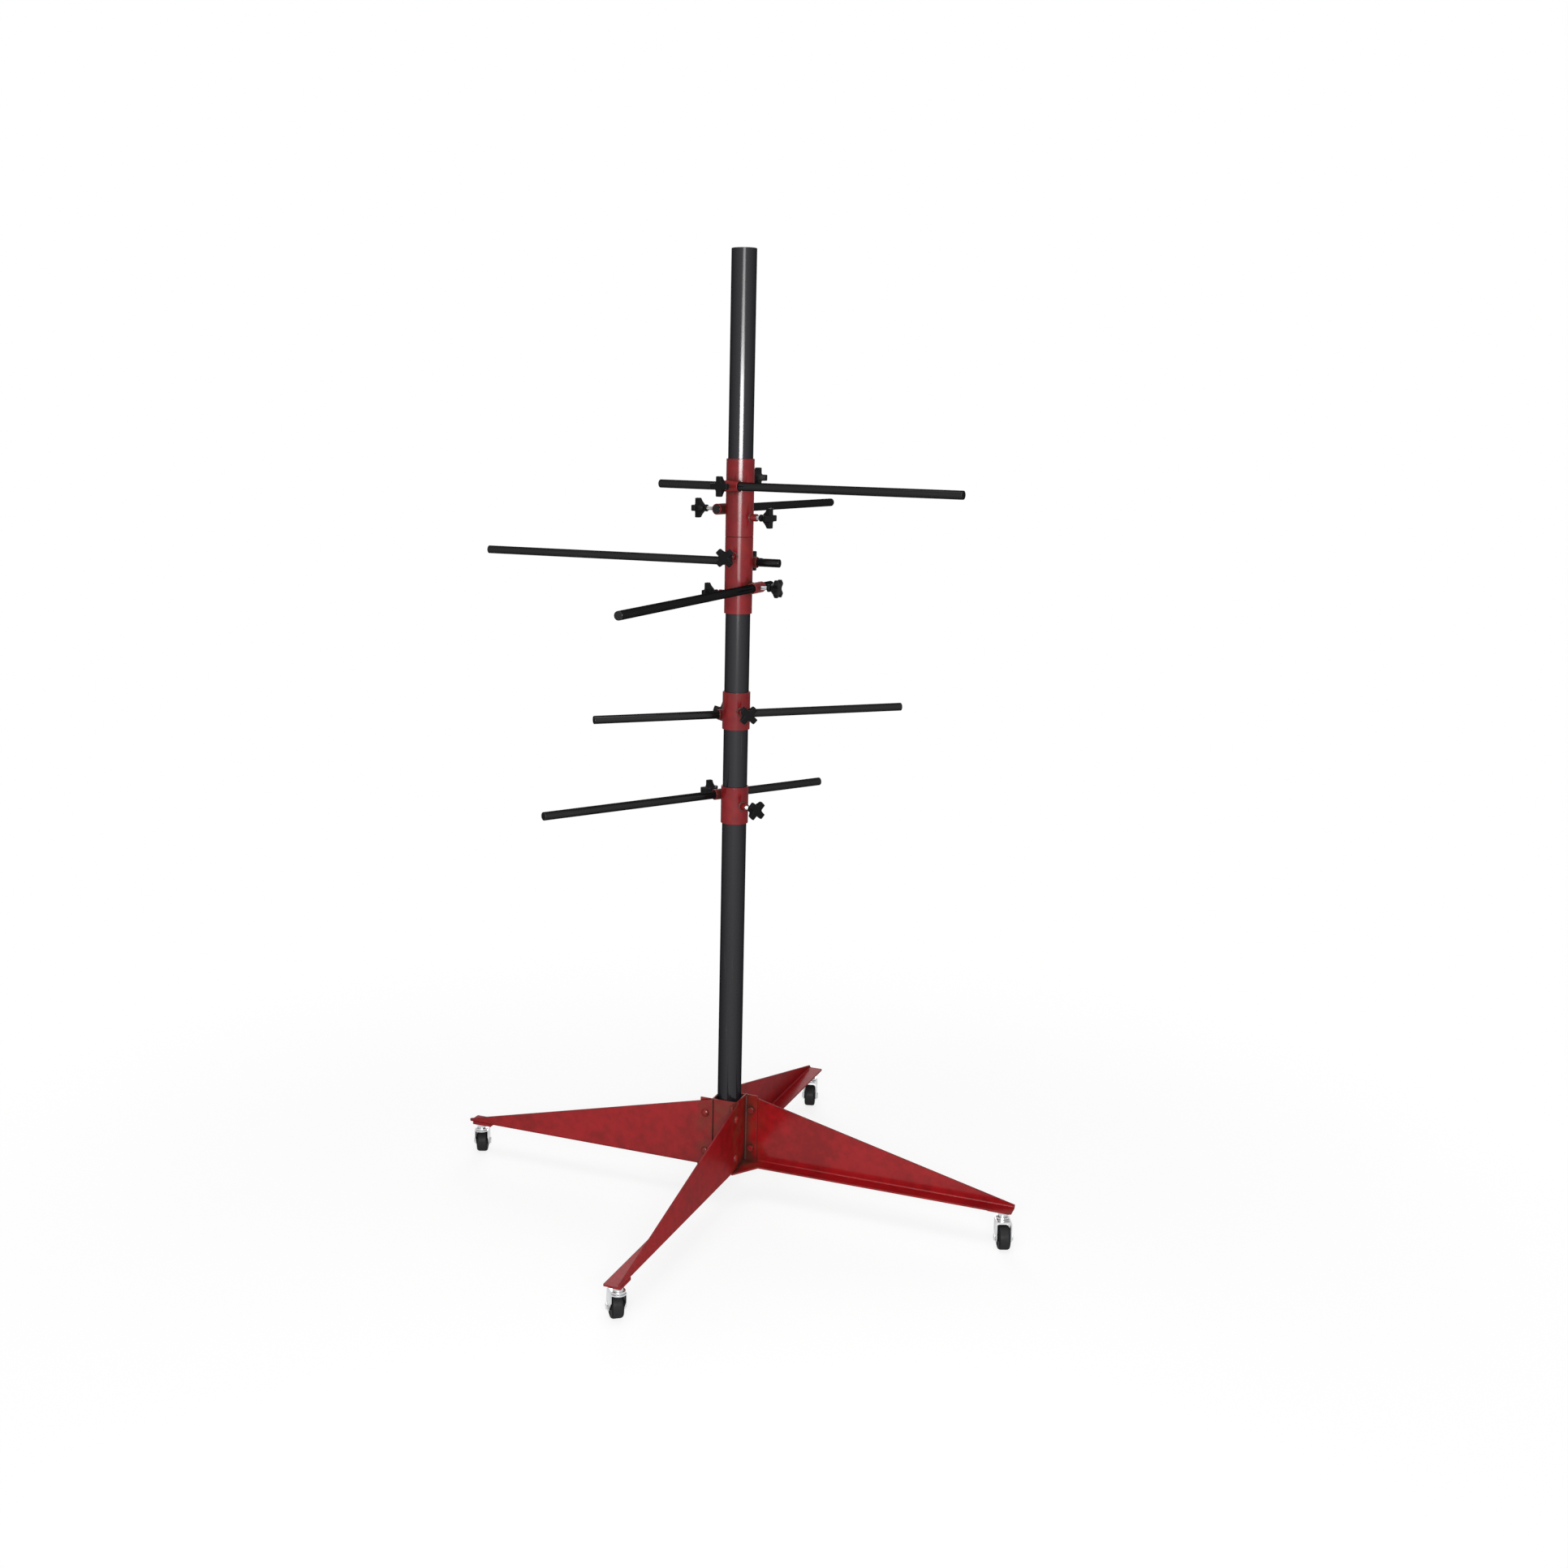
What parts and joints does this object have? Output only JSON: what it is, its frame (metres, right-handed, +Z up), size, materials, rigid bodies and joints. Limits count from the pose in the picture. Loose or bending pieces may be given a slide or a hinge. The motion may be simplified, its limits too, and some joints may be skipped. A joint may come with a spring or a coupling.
{
  "type": "body panel rack",
  "caption": "Rolling body panel rack: a black pole on bent-sheet red legs with casters, with turning sleeves that clamp sliding bar arms by star knobs.",
  "frame": {"origin": "on the floor, on the axis of the pole", "axes": "+Z up along the pole, +X along the right leg, +Y along the back leg"},
  "size_m": [1.2566, 1.244, 1.998],
  "materials": {
    "red_paint": "gloss",
    "black_paint": "satin",
    "black_plastic": "matte",
    "zinc": "bright",
    "wheel_rubber": "matte"
  },
  "bodies": {
    "stand": {"pole": "black_paint", "pole_foot": "black_paint", "hub": "red_paint", "leg_right": "red_paint", "leg_back": "red_paint", "leg_left": "red_paint", "leg_front": "red_paint", "leg_bolts": "red_paint", "leg_nuts": "red_paint", "caster_stems": "zinc"},
    "caster_right": {"fork_right": "zinc", "axle_right": "zinc"},
    "rolling_right": {"wheel_right": "wheel_rubber"},
    "caster_back": {"fork_back": "zinc", "axle_back": "zinc"},
    "rolling_back": {"wheel_back": "wheel_rubber"},
    "caster_left": {"fork_left": "zinc", "axle_left": "zinc"},
    "rolling_left": {"wheel_left": "wheel_rubber"},
    "caster_front": {"fork_front": "zinc", "axle_front": "zinc"},
    "rolling_front": {"wheel_front": "wheel_rubber"},
    "sleeve_1_body": {"sleeve_1": "red_paint", "socket_1": "red_paint"},
    "sleeve_2_body": {"sleeve_2": "red_paint", "socket_2": "red_paint"},
    "sleeve_3_body": {"sleeve_3": "red_paint", "socket_3": "red_paint"},
    "sleeve_4_body": {"sleeve_4": "red_paint", "socket_4": "red_paint"},
    "arm_1_body": {"arm_1": "black_paint"},
    "clamp_arm_1": {"knob_arm_1": "black_plastic", "screw_arm_1": "zinc"},
    "clamp_sleeve_1": {"knob_sleeve_1": "black_plastic", "screw_sleeve_1": "zinc"},
    "arm_2_body": {"arm_2": "black_paint"},
    "clamp_arm_2": {"knob_arm_2": "black_plastic", "screw_arm_2": "zinc"},
    "clamp_sleeve_2": {"knob_sleeve_2": "black_plastic", "screw_sleeve_2": "zinc"},
    "arm_3_body": {"arm_3": "black_paint"},
    "clamp_arm_3": {"knob_arm_3": "black_plastic", "screw_arm_3": "zinc"},
    "clamp_sleeve_3": {"knob_sleeve_3": "black_plastic", "screw_sleeve_3": "zinc"},
    "arm_4_body": {"arm_4": "black_paint"},
    "clamp_arm_4": {"knob_arm_4": "black_plastic", "screw_arm_4": "zinc"},
    "clamp_sleeve_4": {"knob_sleeve_4": "black_plastic", "screw_sleeve_4": "zinc"},
    "arm_5_body": {"arm_5": "black_paint"},
    "clamp_arm_5": {"knob_arm_5": "black_plastic", "screw_arm_5": "zinc"},
    "clamp_sleeve_5": {"knob_sleeve_5": "black_plastic", "screw_sleeve_5": "zinc"},
    "arm_6_body": {"arm_6": "black_paint"},
    "clamp_arm_6": {"knob_arm_6": "black_plastic", "screw_arm_6": "zinc"},
    "clamp_sleeve_6": {"knob_sleeve_6": "black_plastic", "screw_sleeve_6": "zinc"}
  },
  "joints": [
    {"name": "swivel_right", "type": "hinge", "parent": "stand", "child": "caster_right", "pos_m": [0.6, 0.0186, 0.06], "axis": [0, 0, 1], "continuous": true},
    {"name": "roll_right", "type": "hinge", "parent": "caster_right", "child": "rolling_right", "pos_m": [0.60742, 0.00111, 0.025], "axis": [0.9205, 0.3907, 0], "continuous": true},
    {"name": "swivel_back", "type": "hinge", "parent": "stand", "child": "caster_back", "pos_m": [-0.0186, 0.6, 0.06], "axis": [0, 0, 1], "continuous": true},
    {"name": "roll_back", "type": "hinge", "parent": "caster_back", "child": "rolling_back", "pos_m": [-0.01368, 0.58165, 0.025], "axis": [0.9659, 0.2588, 0], "continuous": true},
    {"name": "swivel_left", "type": "hinge", "parent": "stand", "child": "caster_left", "pos_m": [-0.6, -0.0186, 0.06], "axis": [0, 0, 1], "continuous": true},
    {"name": "roll_left", "type": "hinge", "parent": "caster_left", "child": "rolling_left", "pos_m": [-0.60742, -0.00111, 0.025], "axis": [-0.9205, -0.3907, 0], "continuous": true},
    {"name": "swivel_front", "type": "hinge", "parent": "stand", "child": "caster_front", "pos_m": [0.0186, -0.6, 0.06], "axis": [0, 0, 1], "continuous": true},
    {"name": "roll_front", "type": "hinge", "parent": "caster_front", "child": "rolling_front", "pos_m": [0.00717, -0.58483, 0.025], "axis": [-0.7986, -0.6018, 0], "continuous": true},
    {"name": "turn_sleeve_1", "type": "hinge", "parent": "stand", "child": "sleeve_1_body", "pos_m": [0, 0, 1.5095], "axis": [0, 0, 1], "continuous": true},
    {"name": "turn_sleeve_2", "type": "hinge", "parent": "stand", "child": "sleeve_2_body", "pos_m": [0, 0, 1.353], "axis": [0, 0, 1], "continuous": true},
    {"name": "turn_sleeve_3", "type": "hinge", "parent": "stand", "child": "sleeve_3_body", "pos_m": [0, 0, 1.0738], "axis": [0, 0, 1], "continuous": true},
    {"name": "turn_sleeve_4", "type": "hinge", "parent": "stand", "child": "sleeve_4_body", "pos_m": [0, 0, 0.8751], "axis": [0, 0, 1], "continuous": true},
    {"name": "slide_arm_1", "type": "slide", "parent": "sleeve_1_body", "child": "arm_1_body", "axis": [0.9781, -0.2079, 0], "range_m": [-0.493, 0.143]},
    {"name": "knob_arm_1_turn", "type": "hinge", "parent": "sleeve_1_body", "child": "clamp_arm_1", "pos_m": [-0.01101, -0.05182, 1.5335], "axis": [-0.2079, -0.9781, 0], "range_deg": [0, 360]},
    {"name": "knob_sleeve_1_turn", "type": "hinge", "parent": "sleeve_1_body", "child": "clamp_sleeve_1", "pos_m": [0.00914, 0.04301, 1.5485], "axis": [0.2079, 0.9781, 0], "range_deg": [0, 360]},
    {"name": "slide_arm_2", "type": "slide", "parent": "sleeve_1_body", "child": "arm_2_body", "axis": [-0.2079, -0.9781, 0], "range_m": [0, 0.403]},
    {"name": "knob_arm_2_turn", "type": "hinge", "parent": "sleeve_1_body", "child": "clamp_arm_2", "pos_m": [-0.07823, 0.01663, 1.4855], "axis": [-0.9781, 0.2079, 0], "range_deg": [0, 360]},
    {"name": "knob_sleeve_2_turn", "type": "hinge", "parent": "sleeve_1_body", "child": "clamp_sleeve_2", "pos_m": [0.04888, -0.01039, 1.4705], "axis": [0.9781, -0.2079, 0], "range_deg": [0, 360]},
    {"name": "slide_arm_3", "type": "slide", "parent": "sleeve_2_body", "child": "arm_3_body", "axis": [-0.9994, 0.0349, 0], "range_m": [-0.589, 0.047]},
    {"name": "knob_arm_3_turn", "type": "hinge", "parent": "sleeve_2_body", "child": "clamp_arm_3", "pos_m": [0.00185, 0.05294, 1.377], "axis": [0.0349, 0.9994, 0], "range_deg": [0, 360]},
    {"name": "knob_sleeve_3_turn", "type": "hinge", "parent": "sleeve_2_body", "child": "clamp_sleeve_3", "pos_m": [-0.00174, -0.04995, 1.392], "axis": [-0.0349, -0.9994, 0], "range_deg": [0, 360]},
    {"name": "slide_arm_4", "type": "slide", "parent": "sleeve_2_body", "child": "arm_4_body", "axis": [0.0349, 0.9994, 0], "range_m": [-0.048, 0.588]},
    {"name": "knob_arm_4_turn", "type": "hinge", "parent": "sleeve_2_body", "child": "clamp_arm_4", "pos_m": [0.06494, -0.00227, 1.329], "axis": [0.9994, -0.0349, 0], "range_deg": [0, 360]},
    {"name": "knob_sleeve_4_turn", "type": "hinge", "parent": "sleeve_2_body", "child": "clamp_sleeve_4", "pos_m": [-0.04695, 0.00164, 1.314], "axis": [-0.9994, 0.0349, 0], "range_deg": [0, 360]},
    {"name": "slide_arm_5", "type": "slide", "parent": "sleeve_3_body", "child": "arm_5_body", "axis": [-0.7431, -0.6691, 0], "range_m": [-0.268, 0.368]},
    {"name": "knob_arm_5_turn", "type": "hinge", "parent": "sleeve_3_body", "child": "clamp_arm_5", "pos_m": [-0.03946, 0.04383, 1.0588], "axis": [-0.6691, 0.7431, 0], "range_deg": [0, 360]},
    {"name": "knob_sleeve_5_turn", "type": "hinge", "parent": "sleeve_3_body", "child": "clamp_sleeve_5", "pos_m": [0.03344, -0.03714, 1.0738], "axis": [0.6691, -0.7431, 0], "range_deg": [0, 360]},
    {"name": "slide_arm_6", "type": "slide", "parent": "sleeve_4_body", "child": "arm_6_body", "axis": [-0.5446, -0.8387, 0], "range_m": [-0.408, 0.228]},
    {"name": "knob_arm_6_turn", "type": "hinge", "parent": "sleeve_4_body", "child": "clamp_arm_6", "pos_m": [-0.05953, 0.03866, 0.8901], "axis": [-0.8387, 0.5446, 0], "range_deg": [0, 360]},
    {"name": "knob_sleeve_6_turn", "type": "hinge", "parent": "sleeve_4_body", "child": "clamp_sleeve_6", "pos_m": [0.04695, -0.03049, 0.8751], "axis": [0.8387, -0.5446, 0], "range_deg": [0, 360]}
  ]
}
